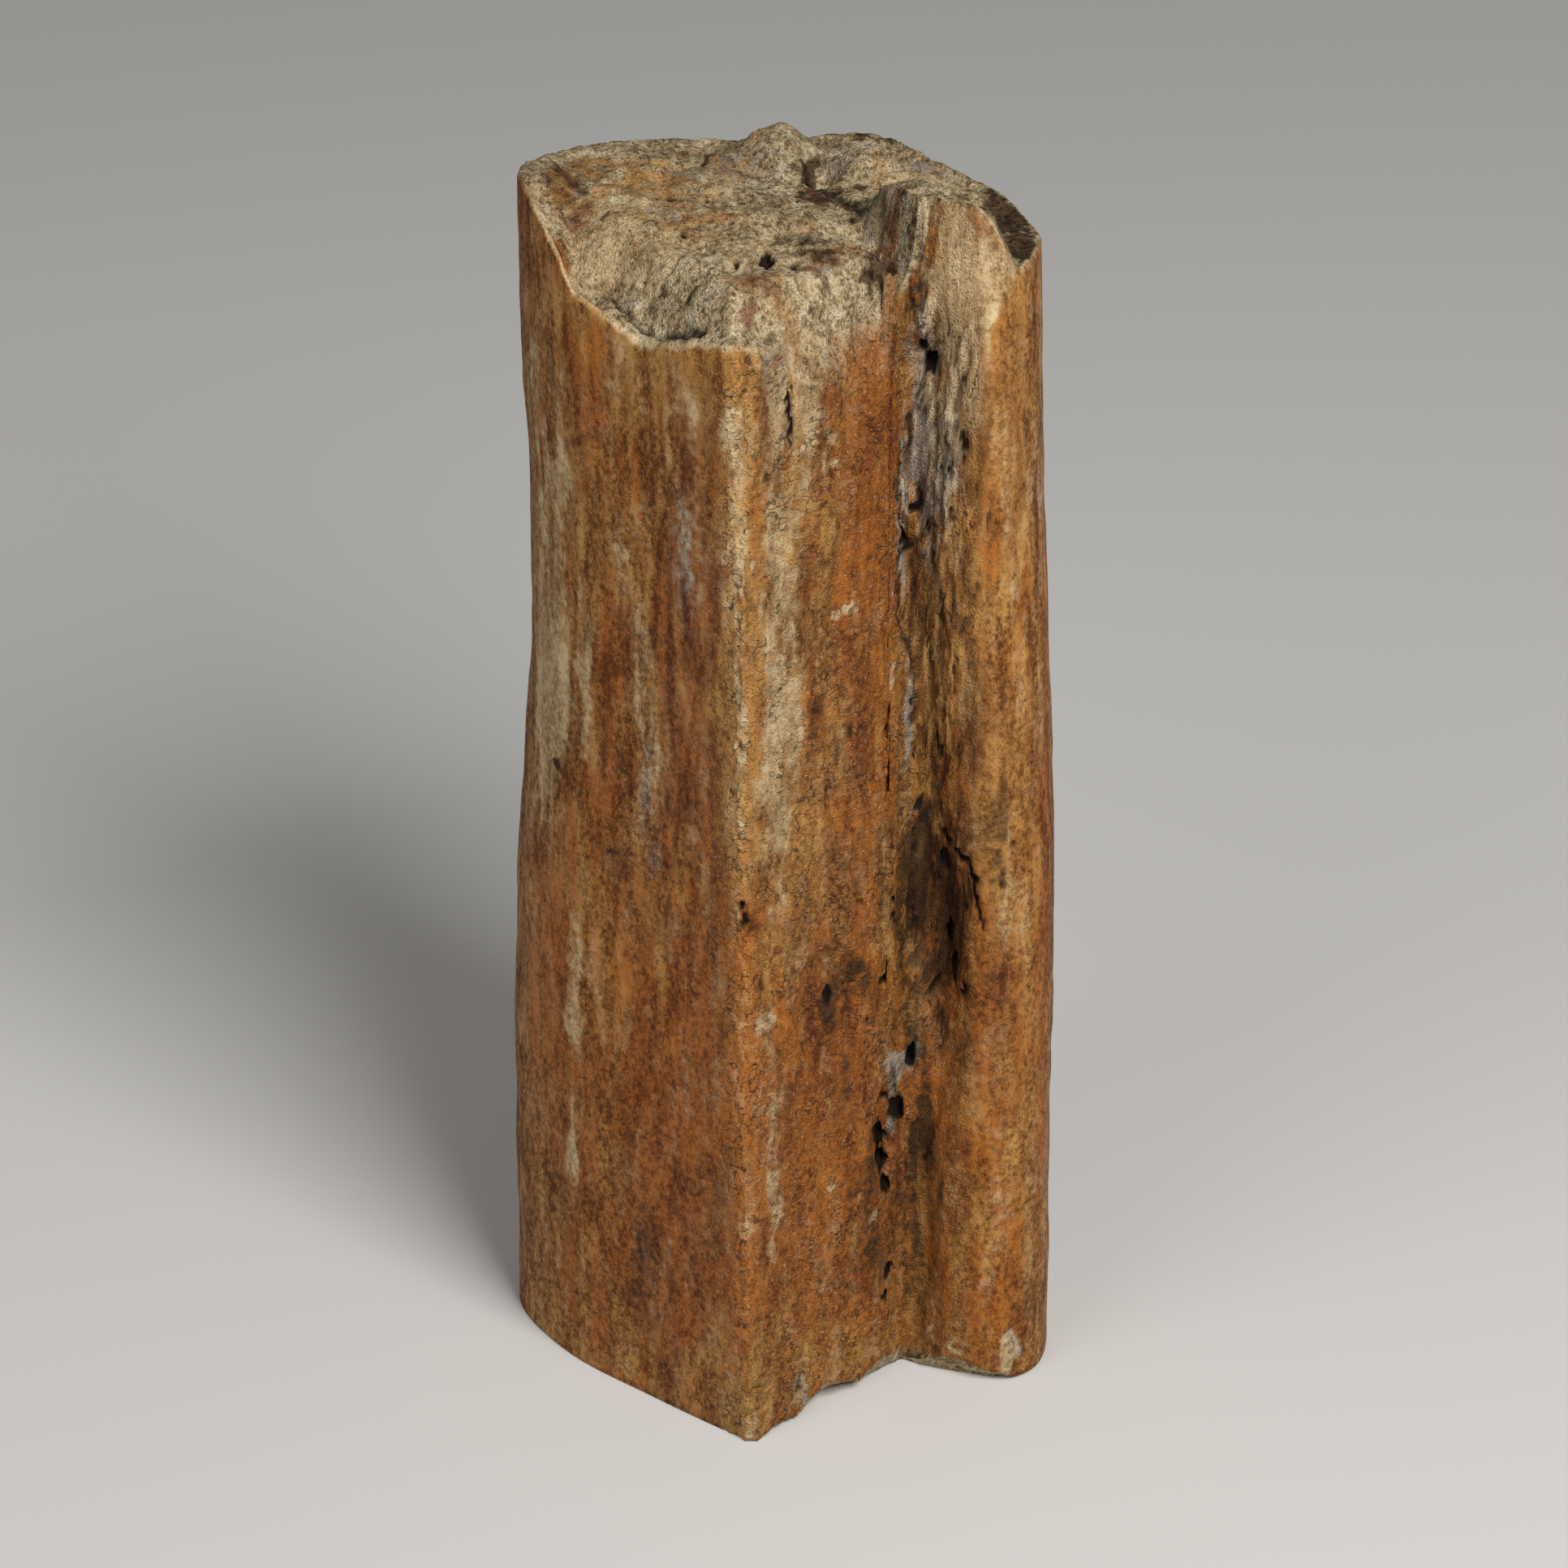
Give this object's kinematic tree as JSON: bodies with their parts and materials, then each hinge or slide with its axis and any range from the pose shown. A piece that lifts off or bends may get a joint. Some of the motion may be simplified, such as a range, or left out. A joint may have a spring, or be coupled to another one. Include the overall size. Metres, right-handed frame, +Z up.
{
  "type": "fossil limb bone",
  "caption": "Broken length of a fossil duck-billed dinosaur limb shaft with a ridge, a groove and rough breaks, standing on its lower break.",
  "frame": {"origin": "under the middle of the bone's box, on the surface that it stands on", "axes": "+Z up along the shaft, the front ridge towards -Y, the round column towards +X"},
  "size_m": [0.0677, 0.0602, 0.1596],
  "materials": {
    "fossil_bone": "mineralised bone, dull and fibrous, stained with rust, ochre and oxblood"
  },
  "bodies": {
    "root": {"fossil_bone": "fossil_bone"}
  },
  "joints": []
}
